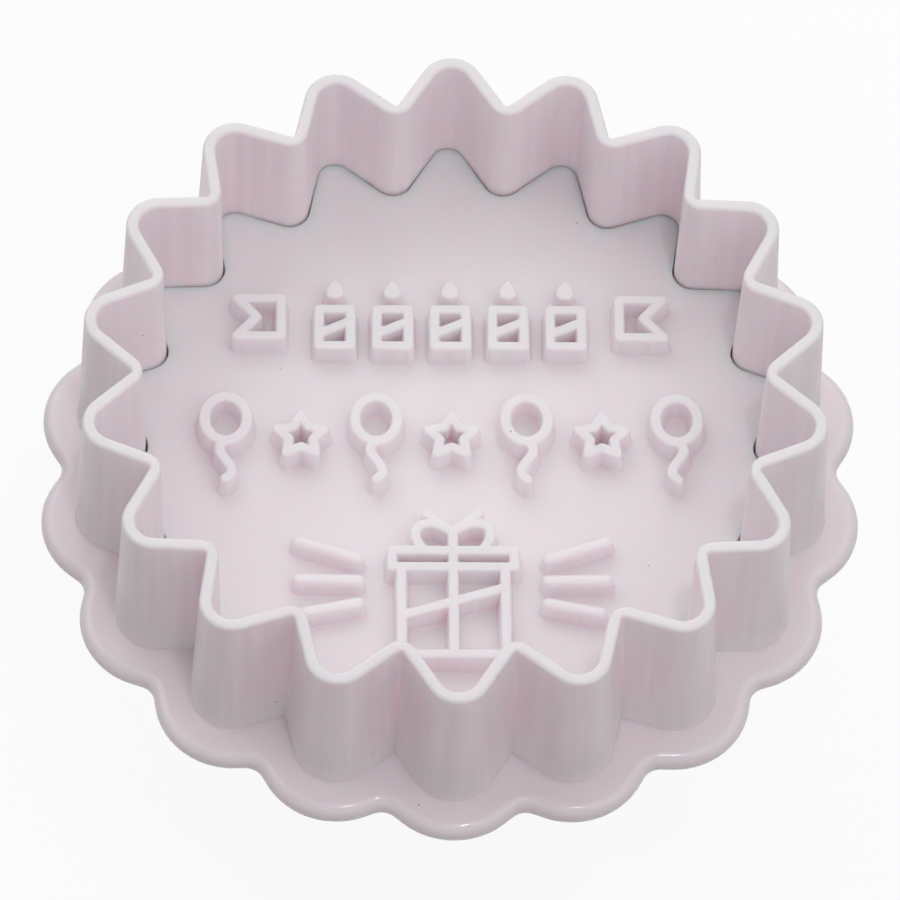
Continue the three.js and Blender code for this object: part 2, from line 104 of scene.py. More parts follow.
# Quads between neighbouring rows of a grid whose columns run round; closed joins the last row to the first
def gridFaces(rows, columns, closed=False):
    row = np.arange(rows if closed else rows - 1)[:, None]
    column = np.arange(columns)[None, :]
    low, high, following = row * columns, (row + 1) % rows * columns, (column + 1) % columns
    return np.stack([low + column, low + following, high + following, high + column], -1).reshape(-1, 4)


# Triangles that close a loop of the grid on a pole, facing down at the first row or up at the last
def fanFaces(loop, pole, up):
    following = np.roll(loop, -1)
    sides = [loop, following] if up else [following, loop]
    return np.stack([*sides, np.full_like(loop, pole)], -1)


# Vertex normals as the sum of face area vectors, so that a flat stays flat beside its roundings
def areaNormals(points, faceSets):
    normals = np.zeros_like(points)
    for faces in faceSets:
        corner = points[faces]
        area = np.cross(corner[:, 2] - corner[:, 0], corner[:, -1] - corner[:, 1])
        for k in range(faces.shape[1]):
            np.add.at(normals, faces[:, k], area)
    return normals / np.maximum(np.linalg.norm(normals, axis=1, keepdims=True), 1e-12)


def makePiece(name, points, faceSets, normals, material, body, cadNode, slotName):
    mesh = bpy.data.meshes.new(name)
    mesh.from_pydata((points * mm).tolist(), [], [face for faces in faceSets for face in faces.tolist()])
    mesh.shade_smooth()
    mesh.normals_split_custom_set_from_vertices(normals.tolist())
    mesh.materials.append(material)
    piece = bpy.data.objects.new(name, mesh)
    bpy.context.scene.collection.objects.link(piece)
    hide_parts(cadNode)
    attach(piece, body)
    print(f"{name}: {len(points)} points, {sum(len(f) * (f.shape[1] - 2) for f in faceSets)} triangles")
    return piece


# A chain of (x, y, radius) corners with each inner corner swapped for the arc that touches both its sides
def rounded(corners, steps):
    chain = []
    for i, (x, y, radius) in enumerate(corners):
        here = np.array((x, y), float)
        if radius == 0 or i in (0, len(corners) - 1):
            chain.append(here[None])
            continue
        sides = [np.array(corners[k][:2]) - here for k in (i - 1, i + 1)]
        before, after = (side / np.linalg.norm(side) for side in sides)
        half = math.acos(before @ after) / 2
        centre = here + (before + after) / np.linalg.norm(before + after) * radius / math.sin(half)
        start, end = (here + way * radius / math.tan(half) - centre for way in (before, after))
        share, sweep = np.linspace(0, 1, steps + 1)[:, None], math.pi - 2 * half
        chain.append(centre + (np.sin((1 - share) * sweep) * start + np.sin(share * sweep) * end) / math.sin(sweep))
    return np.concatenate(chain)


# Points on an arc about a centre, from one angle to another in degrees
def arc(centre, radius, start, end, steps):
    angle = np.radians(np.linspace(start, end, steps + 1))
    return np.array(centre) + radius * np.stack([np.cos(angle), np.sin(angle)], -1)


# Points on a Bezier curve of any degree
def bezier(ends, steps):
    share, degree = np.linspace(0, 1, steps + 1)[:, None], len(ends) - 1
    return sum(math.comb(degree, k) * share ** k * (1 - share) ** (degree - k) * np.array(p, float)
               for k, p in enumerate(ends))


# Polypropylene, injection moulded in a satin mould: pale lilac pink, light goes a millimetre or two deep, red the
# deepest, so that creases and thin walls look warmer. Faint draw lines run down the upright walls, the flange and
# knob are glossier from handling, all below the flange's top is painted a little darker as shade, and a few dark
# specks of dust are moulded in.
plastic = dict(
    pale="#F6EFF2", deep="#EDE3E8", cloudMm=26,
    drawLineMm=0.8, drawLengthMm=90, drawTint=0.45, uprightFrom=0.6, uprightFull=0.1,  # upright by the normal's z
    # paintedShadeTone is painted shade, multiplied into the colour of all below the flange's top; the same heights
    # set where the gloss rises
    paintedShadeTone="#F9F7F8", shadeAndGlossMm=(32.75, 33.05),  # all below the first height, nothing above the second
    satin=0.32, handledGloss=0.12, cloudGloss=0.06,
    speck="#8F757A", speckMm=0.11, speckCellMm=3.2, speckSoft=0.4, emptyCells=0.62,
    waveMm=2.2, waveHighMm=0.04, grainMm=0.35, grainHighMm=0.003,
    ior=1.49, glowShare=0.85, glowMm=2.4, glowDepth=(1.0, 0.55, 0.62))


def satinPolypropylene():
    material, tree = newMaterial("satinPolypropylene")
    place = addNode(tree, "ShaderNodeTexCoord").outputs["Object"]
    cloud = addNode(tree, "ShaderNodeTexNoise", {
        "Vector": place, "Scale": 1 / (plastic["cloudMm"] * mm), "Detail": 2.0}).outputs["Fac"]
    facing = addNode(tree, "ShaderNodeSeparateXYZ", {
        "Vector": addNode(tree, "ShaderNodeNewGeometry").outputs["Normal"]}).outputs["Z"]
    upright = addNode(tree, "ShaderNodeMapRange", {
        "Value": addNode(tree, "ShaderNodeMath", {0: facing}, operation="ABSOLUTE").outputs[0],
        "From Min": plastic["uprightFrom"], "From Max": plastic["uprightFull"]}).outputs["Result"]
    stretched = addNode(tree, "ShaderNodeMapping", {
        "Vector": place,
        "Scale": (1 / (plastic["drawLineMm"] * mm),) * 2 + (1 / (plastic["drawLengthMm"] * mm),)})
    drawLines = addNode(tree, "ShaderNodeMapRange", {
        "Value": addNode(tree, "ShaderNodeTexNoise", {
            "Vector": stretched.outputs[0], "Scale": 1.0, "Detail": 1.0}).outputs["Fac"],
        "From Min": 0.3, "From Max": 0.7, "To Min": -0.5, "To Max": 0.5})
    drawn = addNode(tree, "ShaderNodeMath", {0: drawLines.outputs[0], 1: upright}, operation="MULTIPLY")
    blend = addNode(tree, "ShaderNodeMath", {
        0: drawn.outputs[0], 1: plastic["drawTint"], 2: cloud}, operation="MULTIPLY_ADD")
    tint = addNode(tree, "ShaderNodeMix", {
        "Factor": blend.outputs[0], 6: linear(plastic["pale"]), 7: linear(plastic["deep"])}, data_type="RGBA")
    # Painted shade: below the flange's top the colour is multiplied darker, and the same mask makes the surface
    # glossier
    lowShadeAndGloss = addNode(tree, "ShaderNodeMapRange", {
        "Value": addNode(tree, "ShaderNodeSeparateXYZ", {"Vector": place}).outputs["Z"],
        "From Min": plastic["shadeAndGlossMm"][1] * mm, "From Max": plastic["shadeAndGlossMm"][0] * mm})
    tint = addNode(tree, "ShaderNodeMix", {
        "Factor": lowShadeAndGloss.outputs[0], 6: tint.outputs[2], 7: linear(plastic["paintedShadeTone"])},
        data_type="RGBA", blend_type="MULTIPLY")
    dust = addNode(tree, "ShaderNodeTexVoronoi", {
        "Vector": place, "Scale": 1 / (plastic["speckCellMm"] * mm)})
    speckReach = plastic["speckMm"] / plastic["speckCellMm"]
    near = addNode(tree, "ShaderNodeMapRange", {
        "Value": dust.outputs["Distance"], "From Min": speckReach, "From Max": plastic["speckSoft"] * speckReach})
    chance = addNode(tree, "ShaderNodeMath", {
        0: addNode(tree, "ShaderNodeSeparateColor", {"Color": dust.outputs["Color"]}).outputs["Red"],
        1: plastic["emptyCells"]}, operation="GREATER_THAN")
    speck = addNode(tree, "ShaderNodeMath", {0: near.outputs[0], 1: chance.outputs[0]}, operation="MULTIPLY")
    colour = addNode(tree, "ShaderNodeMix", {
        "Factor": speck.outputs[0], 6: tint.outputs[2], 7: linear(plastic["speck"])}, data_type="RGBA")
    gloss = addNode(tree, "ShaderNodeMapRange", {
        "Value": lowShadeAndGloss.outputs[0], "To Min": plastic["satin"], "To Max": plastic["handledGloss"]})
    gloss = addNode(tree, "ShaderNodeMath", {
        0: blend.outputs[0], 1: plastic["cloudGloss"], 2: gloss.outputs[0]}, operation="MULTIPLY_ADD")
    grain = addNode(tree, "ShaderNodeTexNoise", {
        "Vector": place, "Scale": 1 / (plastic["grainMm"] * mm), "Detail": 2.0})
    wave = addNode(tree, "ShaderNodeTexNoise", {
        "Vector": place, "Scale": 1 / (plastic["waveMm"] * mm), "Detail": 1.0})
    height = addNode(tree, "ShaderNodeMath", {
        0: grain.outputs["Fac"], 1: plastic["grainHighMm"]}, operation="MULTIPLY")
    height = addNode(tree, "ShaderNodeMath", {
        0: wave.outputs["Fac"], 1: plastic["waveHighMm"], 2: height.outputs[0]}, operation="MULTIPLY_ADD")
    bump = addNode(tree, "ShaderNodeBump", {"Height": height.outputs[0], "Strength": 1.0, "Distance": mm})
    shader = addNode(tree, "ShaderNodeBsdfPrincipled", {
        "Base Color": colour.outputs[2], "Roughness": gloss.outputs[0], "IOR": plastic["ior"],
        "Subsurface Weight": plastic["glowShare"], "Subsurface Radius": plastic["glowDepth"],
        "Subsurface Scale": plastic["glowMm"] * mm, "Normal": bump.outputs[0]})
    addNode(tree, "ShaderNodeOutputMaterial", {"Surface": shader.outputs[0]})
    return material


# Spring steel wire, drawn through a die and left bright: a soft metal gloss with fine lines along the wire
wire = dict(bright="#C9CBCE", dull="#A9ACB1", lineMm=0.12, lineLengthMm=9, gloss=(0.2, 0.36))


def drawnSpringSteel():
    material, tree = newMaterial("drawnSpringSteel")
    along = addNode(tree, "ShaderNodeMapping", {
        "Vector": addNode(tree, "ShaderNodeUVMap", uv_map="wireLength").outputs[0],
        "Scale": (1 / wire["lineLengthMm"], 1 / wire["lineMm"], 1.0)})
    lines = addNode(tree, "ShaderNodeTexNoise", {
        "Vector": along.outputs[0], "Scale": 1.0, "Detail": 2.0}).outputs["Fac"]
    colour = addNode(tree, "ShaderNodeMix", {
        "Factor": lines, 6: linear(wire["bright"]), 7: linear(wire["dull"])}, data_type="RGBA")
    gloss = addNode(tree, "ShaderNodeMapRange", {
        "Value": lines, "To Min": wire["gloss"][0], "To Max": wire["gloss"][1]})
    shader = addNode(tree, "ShaderNodeBsdfPrincipled", {
        "Base Color": colour.outputs[2], "Metallic": 1.0, "Roughness": gloss.outputs[0]})
    addNode(tree, "ShaderNodeOutputMaterial", {"Surface": shader.outputs[0]})
    return material


# Screw steel with a bright zinc plating: cool grey, slightly cloudy
zinc = dict(light="#C3C8CE", dark="#AEB3BB", cloudMm=0.8, gloss=(0.24, 0.4))


def zincPlatedSteel():
    material, tree = newMaterial("zincPlatedSteel")
    place = addNode(tree, "ShaderNodeTexCoord").outputs["Object"]
    cloud = addNode(tree, "ShaderNodeTexNoise", {
        "Vector": place, "Scale": 1 / (zinc["cloudMm"] * mm), "Detail": 3.0}).outputs["Fac"]
    colour = addNode(tree, "ShaderNodeMix", {
        "Factor": cloud, 6: linear(zinc["light"]), 7: linear(zinc["dark"])}, data_type="RGBA")
    gloss = addNode(tree, "ShaderNodeMapRange", {
        "Value": cloud, "To Min": zinc["gloss"][0], "To Max": zinc["gloss"][1]})
    shader = addNode(tree, "ShaderNodeBsdfPrincipled", {
        "Base Color": colour.outputs[2], "Metallic": 1.0, "Roughness": gloss.outputs[0]})
    addNode(tree, "ShaderNodeOutputMaterial", {"Surface": shader.outputs[0]})
    return material


lilac = satinPolypropylene()
print("materials made")

# The zigzag wall and the scalloped flange have the same lobes, so one column of a grid runs through both
lobes = 18
lobeSteps = dict(crest=10, flank=3, dip=8)
columns = lobes * 2 * sum(lobeSteps.values())
wallLine = dict(crest=34.45, dip=29.65, crestBend=2.5, dipBend=1.15, creaseSharper=1.6)  # middle of the wall
flangeLine = dict(crest=39.185, dip=36.885, crestBend=7.3, dipBend=1.8, creaseSharper=1)  # the flange's edge
leastBend = 0.25


# A lobed loop at an offset from its line. Each half lobe is an arc on the crest, a straight flank and an arc in the
# dip, all tangent; it is mirrored into a lobe and turned round the axis, with one crest facing -Y. Outside the line,
# the dips narrow faster than a parallel curve's do.
def lobedLoop(line, offset, height):
    half = math.pi / lobes
    dipWay = np.array((math.cos(half), math.sin(half)))
    between = dipWay * (line["dip"] + line["dipBend"]) - (line["crest"] - line["crestBend"], 0)
    bends = line["crestBend"] + line["dipBend"]
    facing = math.atan2(between[1], between[0]) - math.acos(bends / np.hypot(*between))
    flank = (line["crest"] - line["crestBend"]) * math.cos(facing) + line["crestBend"] + offset
    crestRound = max(line["crestBend"] + offset, leastBend)
    dipRound = max(line["dipBend"] - offset * (line["creaseSharper"] if offset > 0 else 1), leastBend)
    a = np.linspace(0, facing, lobeSteps["crest"] + 1)
    b = np.linspace(facing, half, lobeSteps["dip"] + 1)
    crest = np.stack([crestRound * np.cos(a), crestRound * np.sin(a)], -1)
    crest[:, 0] += (flank - crestRound) / math.cos(facing)
    dip = dipWay * (flank + dipRound) / math.cos(facing - half) - dipRound * np.stack([np.cos(b), np.sin(b)], -1)
    share = np.arange(1, lobeSteps["flank"])[:, None] / lobeSteps["flank"]
    side = np.concatenate([crest, crest[-1] + share * (dip[0] - crest[-1]), dip])
    lobe = np.concatenate([side[:0:-1] * (1, -1), side[:-1]])
    turn = 2 * half * np.arange(lobes) - math.pi / 2
    spin = np.array([[np.cos(turn), -np.sin(turn)], [np.sin(turn), np.cos(turn)]])
    loop = np.einsum("abk,nb->kna", spin, lobe).reshape(-1, 2)
    return np.column_stack([loop, np.full(len(loop), height)])


def circleLoop(radius, height, angles):
    return np.column_stack([radius * np.cos(angles), radius * np.sin(angles), np.full(len(angles), height)])


def loopAngles(loop):
    return np.arctan2(loop[:, 1], loop[:, 0])


# Cutter ring: cutting wall, flange, deck, guide, the spring's ring and six ribs in one closed surface
ring = dict(outside=0.55, inside=0.64, wallDraft=0.85, innerDraft=0.22, rimTop=50.2, rimOuter=0.36, rimInner=0.34,
            footRound=0.24, innerFoot=0.2, deckTop=32.7, deckBottom=30.3,
            edgeRound=1.2, bore=5.3, guide=6.9, guideEnd=23.3, springSeat=(9.34, 10.54), seatDepth=2.2, seatDraft=0.1,
            ribs=6, firstRib=5, ribEnd=26.65, ribEndDepth=0.8, ribRound=0.3)
# radii of rows that only carry the grid across the deck: above, below inside the ribs' ends, and below outside them
deckRows = dict(over=(22, 12), inner=(13, 17, 21, 24.5), outer=(28.5, 32))
# distance from a rib's middle to each of its columns, and the share of its height there
ribAcross = np.array([0, 0.3, 0.45, 0.55, 0.61, 0.64, 0.68, 0.74, 0.84, 1.0])
ribShare = np.array([1, 1, 0.985, 0.93, 0.85, 0.72, 0.14, 0.05, 0.012, 0])
# the same along a rib at its end, in roundings
ribEndAlong = np.array([-1, -0.5, -0.15, 0, 0.1, 0.4, 1])
ribEndShare = np.array([1, 0.96, 0.8, 0.5, 0.2, 0.04, 0])


# Columns of the underside: outside the spring's ring a rib's own columns keep their distance from its middle, the
# others spread evenly to the middle of the gap. Gives the angle and the share of the rib's height for each column.
def ribColumns(radius):
    sector, ribSteps = columns // ring["ribs"], len(ribAcross) - 1
    shifted = np.arange(columns) - ring["firstRib"] * (columns // lobes) + sector // 2
    step = shifted % sector - sector // 2
    rib, away = shifted // sector * 2 * math.pi / ring["ribs"], np.abs(step)
    side = np.arcsin(ribAcross / max(radius, ring["springSeat"][1]))
    spread = np.interp(away, [ribSteps, sector / 2], [side[-1], math.pi / ring["ribs"]])
    angle = np.where(away <= ribSteps, side[np.minimum(away, ribSteps)], spread)
    return rib + np.sign(step) * angle, np.where(away <= ribSteps, ribShare[np.minimum(away, ribSteps)], 0)


def cutterRing():
    outside, inside, deckTop, deckBottom = (ring[k] for k in ("outside", "inside", "deckTop", "deckBottom"))
    foot = outside + ring["wallDraft"] + ring["footRound"]
    innerFoot = inside + ring["innerDraft"] + ring["innerFoot"]
    edge = arc((-ring["edgeRound"], deckTop - ring["edgeRound"]), ring["edgeRound"], -90, 90, 16)
    rows = [lobedLoop(flangeLine, *place) for place in edge]
    wall = np.concatenate([
        arc((foot, deckTop + ring["footRound"]), ring["footRound"], 270, 180, 6),
        arc((outside - ring["rimOuter"], ring["rimTop"] - ring["rimOuter"]), ring["rimOuter"], 0, 90, 7),
        arc((ring["rimInner"] - inside, ring["rimTop"] - ring["rimInner"]), ring["rimInner"], 90, 180, 6),
        arc((-innerFoot, deckTop + ring["innerFoot"]), ring["innerFoot"], 0, -90, 4)])
    rows += [(rows[-1] + lobedLoop(wallLine, *wall[0])) / 2]
    rows += [lobedLoop(wallLine, *place) for place in wall]
    rows += [circleLoop(deckRows["over"][0], deckTop, loopAngles(rows[-1]))]
    seatIn, seatOut = ring["springSeat"]
    seatEnd = deckBottom - ring["seatDepth"]
    below = rounded([
        (deckRows["over"][1], deckTop, 0), (ring["bore"], deckTop, 0.3), (ring["bore"], ring["guideEnd"], 0.2),
        (ring["guide"], ring["guideEnd"], 0.3), (ring["guide"], deckBottom, 0.4), (seatIn, deckBottom, 0.3),
        (seatIn, seatEnd, 0.25), (seatOut, seatEnd, 0.25), (seatOut + ring["seatDraft"], deckBottom, 0.4),
        (deckRows["inner"][0], deckBottom, 0)], 5)
    ends = ring["ribEnd"] + ring["ribRound"] * ribEndAlong
    across = [*deckRows["inner"][1:], *ends, deckRows["outer"][0]]
    under = np.concatenate([below, [(radius, deckBottom) for radius in across]])
    started = np.arange(len(under)) > np.argmin(np.abs(under[:, 0] - seatIn) + np.abs(under[:, 1] - seatEnd))
    depth = np.interp(under[:, 0], [seatOut, ring["ribEnd"]], [ring["seatDepth"], ring["ribEndDepth"]])
    depth *= started * np.interp(under[:, 0], ends, ribEndShare)
    for (radius, height), ribDepth in zip(under, depth):
        angles, share = ribColumns(radius)
        loop = circleLoop(radius, height, angles)
        loop[:, 2] = np.minimum(height, deckBottom - ribDepth * share) if ribDepth > 0 else height
        rows.append(loop)
    rows += [circleLoop(deckRows["outer"][1], deckBottom, loopAngles(rows[0]))]
    points = np.concatenate(rows)
    faces = [gridFaces(len(rows), columns, closed=True)]
    return points, faces, areaNormals(points, faces)


makePiece("cutterRing", *cutterRing(), lilac, "cutter", "cutter_ring", "stamp_plastic")

# Embossing plate: the zigzag slab with its post below and the picture raised on its face
plate = dict(edge=-0.822, edgeTaper=0.042, notchDeeper=0.2, edgeRound=0.08, bottomRound=0.1, bottom=33.0, top=36.3,
             post=5.0, postFlat=4.3, postEnd=7.9, flatTop=11.0, bore=1.8, boreTop=19.2, underRow=18)
# height of a line over the plate, by the distance from its edge: a rounded top, drafted sides and a hollow foot
relief = dict(height=2.4, topRound=0.26, topTilt=0, draft=0.15, footRound=0.28)
rayForm = dict(height=2.0, topRound=0.7, topTilt=12, draft=0.06, footRound=0.25)
# grid on which the distance is worked out; its odd starts keep its lines off the picture's straight edges
reliefGrid = dict(step=0.13, acrossX=(-25.513, 25.5), acrossY=(-25.517, 19.5), nearest=0.03, mergeBelow=4e-4)
lineWidth, balloonLineWidth, curveSteps = 1.0, 1.1, 24
gift = dict(lidHalf=5.7, lidTop=-12.5, boxHalf=4.85, boxTop=-14.25, foot=-23.55, sashLow=-19.45, sashHigh=-16.45,
            knot=-10.5, bowPulls=((2.4, -8.6), (4.8, -9.9)), bowFoot=2.7, ribbonEnd=(2.45, -8.5))
rays = [((9, -13.05), (14.4, -11.25)), ((8.9, -15.4), (14.35, -15.3)), ((8.9, -17.85), (13.7, -18.85))]
bannerTail = dict(inner=16.1, outer=20.3, notch=18.4, middle=13, half=2.1)
candle = dict(count=5, pitch=5.5, half=1.5, foot=9.85, top=13.9, stripeRise=1.4, flameFoot=15, flameTop=17.4,
              flameBelly=1.8, flameBellyUp=15.3)
party = dict(count=7, pitch=7.1, middle=-0.1, starReach=2.3, starDip=1.2, balloonHalf=2, balloonMiddle=1.75,
             balloonHalfHeight=2.4, sway=2, stringFoot=-4.8)


# Distance to a chain of points, less half the line's width
def lineField(x, y, path, width):
    start, run = path[:-1], np.diff(path, axis=0)
    fromX, fromY = x[..., None] - start[:, 0], y[..., None] - start[:, 1]
    share = np.clip((fromX * run[:, 0] + fromY * run[:, 1]) / (run ** 2).sum(1), 0, 1)
    return np.hypot(fromX - share * run[:, 0], fromY - share * run[:, 1]).min(-1) - width / 2


# Signed distance to a closed polygon, negative inside, where a ray to the right meets an odd number of its sides
def areaField(x, y, corners):
    start, end = corners, np.roll(corners, -1, 0)
    rise = np.where(end[:, 1] == start[:, 1], 1e-9, end[:, 1] - start[:, 1])
    meets = (start[:, 1] > y[..., None]) != (end[:, 1] > y[..., None])
    meets &= x[..., None] < start[:, 0] + (y[..., None] - start[:, 1]) * (end[:, 0] - start[:, 0]) / rise
    gap = lineField(x, y, np.concatenate([corners, corners[:1]]), 0)
    return np.where(meets.sum(-1) % 2 == 1, -gap, gap)


# A closed line: round on the outside of its corners, sharp on the inside
def frameField(x, y, corners, width):
    return lineField(x, y, np.concatenate([corners, corners[:1]]), width)


def box(left, right, low, high):
    return np.array([(left, low), (right, low), (right, high), (left, high)], float)


# Every raised line of the picture as a field and the values that it takes
def pictureLines():
    g, b, c, p = gift, bannerTail, candle, party
    lines = [
        (frameField, box(-g["lidHalf"], g["lidHalf"], g["boxTop"], g["lidTop"]), lineWidth),
        (frameField, box(-g["boxHalf"], g["boxHalf"], g["foot"], g["boxTop"]), lineWidth),
        (lineField, np.array([(0, g["knot"]), (0, g["foot"])]), lineWidth),
        (lineField, np.array([(-g["boxHalf"], g["sashLow"]), (g["boxHalf"], g["sashHigh"])]), lineWidth)]
    for side in (-1, 1):
        loop = np.array([(0, g["knot"]), *g["bowPulls"], (g["bowFoot"], g["lidTop"])]) * (side, 1)
        lines.append((lineField, bezier(loop, curveSteps), lineWidth))
        lines.append((lineField, np.array([(0, g["knot"]), g["ribbonEnd"]]) * (side, 1), lineWidth))
        tail = [(b["inner"], b["half"]), (b["outer"], b["half"]), (b["notch"], 0), (b["outer"], -b["half"]),
                (b["inner"], -b["half"])]
        lines.append((frameField, np.array(tail) * (side, 1) + (0, b["middle"]), lineWidth))
    for x in (np.arange(c["count"]) - (c["count"] - 1) / 2) * c["pitch"]:
        lines.append((frameField, box(x - c["half"], x + c["half"], c["foot"], c["top"]), lineWidth))
        stripe = (c["foot"] + c["top"]) / 2 + np.array((-1, 1)) * c["stripeRise"] / 2
        lines.append((lineField, np.column_stack([(x - c["half"], x + c["half"]), stripe]), lineWidth))
        right, left = (
            bezier([(x, c["flameFoot"]), (x + way * c["flameBelly"], c["flameBellyUp"]), (x, c["flameTop"])],
                   curveSteps // 2) for way in (1, -1))
        lines.append((areaField, np.concatenate([right, left[-2:0:-1]])))
    for i, x in enumerate((np.arange(p["count"]) - (p["count"] - 1) / 2) * p["pitch"]):
        if i % 2:
            turn = math.pi / 2 + math.pi / 5 * np.arange(10)
            reach = np.where(np.arange(10) % 2, p["starDip"], p["starReach"])
            star = np.stack([x + reach * np.cos(turn), p["middle"] + reach * np.sin(turn)], -1)
            lines.append((frameField, star, lineWidth))
            continue
        turn = np.linspace(0, 2 * math.pi, 2 * curveSteps + 1)
        skin = np.stack([p["balloonHalf"] * np.cos(turn), p["balloonHalfHeight"] * np.sin(turn)], -1)
        lines.append((lineField, skin + (x, p["balloonMiddle"]), balloonLineWidth))
        knot, sway = p["balloonMiddle"] - p["balloonHalfHeight"], math.copysign(p["sway"], x)
        drop = (p["stringFoot"] - knot) / 3
        string = [(x, knot), (x + sway, knot + drop), (x - sway, knot + 2 * drop), (x, p["stringFoot"])]
        lines.append((lineField, bezier(string, curveSteps), lineWidth))
    return lines


# The least distance to any of the lines, worked out line by line on the part of the grid around it, which is wider
# than any cross-section
def unionField(lines, x, y, reach=1.2, far=9.0):
    field = np.full((len(y), len(x)), far)
    for shape, path, *width in lines:
        low, high = path.min(0) - reach, path.max(0) + reach
        acrossX = slice(*np.searchsorted(x, (low[0], high[0])))
        acrossY = slice(*np.searchsorted(y, (low[1], high[1])))
        near = shape(*np.meshgrid(x[acrossX], y[acrossY]), path, *width)
        field[acrossY, acrossX] = np.minimum(field[acrossY, acrossX], near)
    return field


# A line's cross-section as (distance from its edge, height, tilt of the normal)
def crossSection(form, steps=4):
    lean = math.degrees(math.atan2(form["height"] - form["topRound"] - form["footRound"], form["draft"]))
    turn = np.radians(np.linspace(form["topTilt"], lean, steps + 1))
    top, foot, height = form["topRound"], form["footRound"], form["height"]
    crown = np.stack([top * (np.sin(turn) - 1), height - top * (1 - np.cos(turn)), turn], -1)
    turn = np.radians(np.linspace(lean, 0, steps + 1))
    hollow = np.stack([form["draft"] + foot * (1 - np.sin(turn)), foot * (1 - np.cos(turn)), turn], -1)
    return np.concatenate([crown, hollow])


# Points where a field's grid crosses a level, the outward slope there, and the segments that join them in each cell
def contour(field, level, x, y):
    value, step = field - level, x[1] - x[0]
    inside = value < 0
    slopeY, slopeX = np.gradient(field, step)
    crossX, crossY = inside[:, :-1] != inside[:, 1:], inside[:-1] != inside[1:]
    points, slopes, ids, first = [], [], [], 0
    for cross, (down, over) in ((crossX, (0, 1)), (crossY, (1, 0))):
        row, column = np.nonzero(cross)
        here, there = value[row, column], value[row + down, column + over]
        share = np.clip(here / (here - there), reliefGrid["nearest"], 1 - reliefGrid["nearest"])  # keeps points apart
        points.append(np.stack([x[column] + share * over * step, y[row] + share * down * step], -1))
        slopes.append(np.stack([s[row, column] + share * (s[row + down, column + over] - s[row, column])
                                for s in (slopeX, slopeY)], -1))
        ids.append(np.full(cross.shape, -1))
        ids[-1][cross] = first + np.arange(len(row))
        first += len(row)
    sides = np.stack([ids[0][:-1], ids[1][:, 1:], ids[0][1:], ids[1][:, :-1]], -1)  # below, right, above, left
    met = (sides >= 0).sum(-1)
    segments = [np.sort(sides[met == 2], -1)[:, 2:]]
    saddle = sides[met == 4]
    middle = (value[:-1, :-1] + value[1:, :-1] + value[:-1, 1:] + value[1:, 1:])[met == 4] < 0
    alike = (inside[:-1, :-1][met == 4] == middle)[:, None]
    segments += [np.where(alike, saddle[:, [0, 1]], saddle[:, [0, 3]]),
                 np.where(alike, saddle[:, [2, 3]], saddle[:, [1, 2]])]
    slopes = np.concatenate(slopes)
    slopes /= np.maximum(np.linalg.norm(slopes, axis=1, keepdims=True), 1e-9)
    return np.concatenate(points), slopes, np.concatenate(segments)


# The plate's face is a height over x and y that depends only on the distance to the nearest line's edge. Its points
# lie on contours of that distance, one for each step of the cross-section, and a Delaunay mesh joins them.
def plateFace(rim):
    x, y = (np.arange(*reliefGrid[k], reliefGrid["step"]) for k in ("acrossX", "acrossY"))
    rayLines = [(lineField, np.array(ends) * (side, 1), 2 * rayForm["topRound"]) for ends in rays for side in (-1, 1)]
    flat, heights, normals = [rim[:, :2]], [np.zeros(len(rim))], [np.tile((0.0, 0, 1), (len(rim), 1))]
    loop = np.arange(len(rim))
    segments = [np.stack([loop, np.roll(loop, -1)], -1)]
    first = len(rim)
    for lines, form in ((pictureLines(), relief), (rayLines, rayForm)):
        field = unionField(lines, x, y)
        for distance, height, tilt in crossSection(form):
            points, slopes, joined = contour(field, distance, x, y)
            flat.append(points)
            heights.append(np.full(len(points), height))
            normals.append(np.column_stack([slopes * math.sin(tilt), np.full(len(points), math.cos(tilt))]))
            segments.append(joined + first)
            first += len(points)
    flat, heights, normals = np.concatenate(flat), np.concatenate(heights), np.concatenate(normals)
    insideOuterLoop = 1  # the mesh stops at the rim
    made = delaunay_2d_cdt([Vector(p) for p in flat.tolist()], np.concatenate(segments).tolist(), [],
                           insideOuterLoop, reliefGrid["mergeBelow"])
    source = np.array([origin[0] if origin else -1 for origin in made[3]])
    faces = np.array(made[2])
    print("plate face:", len(flat), "points laid,", (source < 0).sum(), "added")
    place = np.array([tuple(p) for p in made[0]])
    points = np.column_stack([place, plate["top"] + np.where(source < 0, 0, heights[source])])
    return points, np.where((source < 0)[:, None], (0, 0, 1), normals[source]), faces, source


